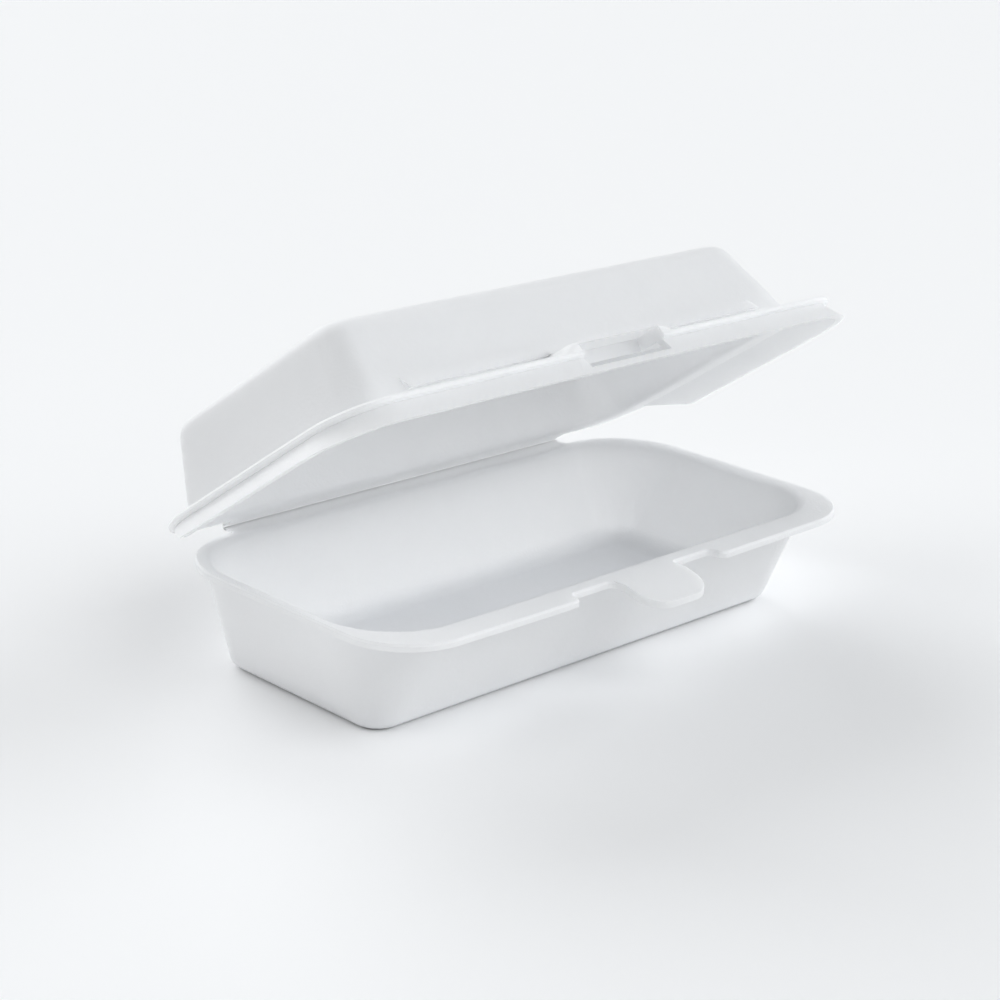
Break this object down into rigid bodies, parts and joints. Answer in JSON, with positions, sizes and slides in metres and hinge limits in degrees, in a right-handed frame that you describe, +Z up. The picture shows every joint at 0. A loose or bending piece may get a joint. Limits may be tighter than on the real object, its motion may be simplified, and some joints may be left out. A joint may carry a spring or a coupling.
{
  "type": "foam clamshell container",
  "caption": "Hinged foam food container: a drafted tray with a locking tab and a domed lid with a flared skirt and a slot for the tab.",
  "frame": {"origin": "middle of the flat underside of the tray", "axes": "+X along the crease, -Y towards the locking tab, +Z up"},
  "size_m": [0.251, 0.1532, 0.1302],
  "materials": {
    "foam": "matte closed-cell foam with a fine pebbled skin"
  },
  "bodies": {
    "base": {"base_tray": "foam"},
    "lid": {"lid": "foam"}
  },
  "joints": [
    {"name": "lid_hinge", "type": "hinge", "parent": "base", "child": "lid", "pos_m": [0, 0.0599, 0.04075], "axis": [-1, 0, 0], "range_deg": [-34, 146]}
  ]
}
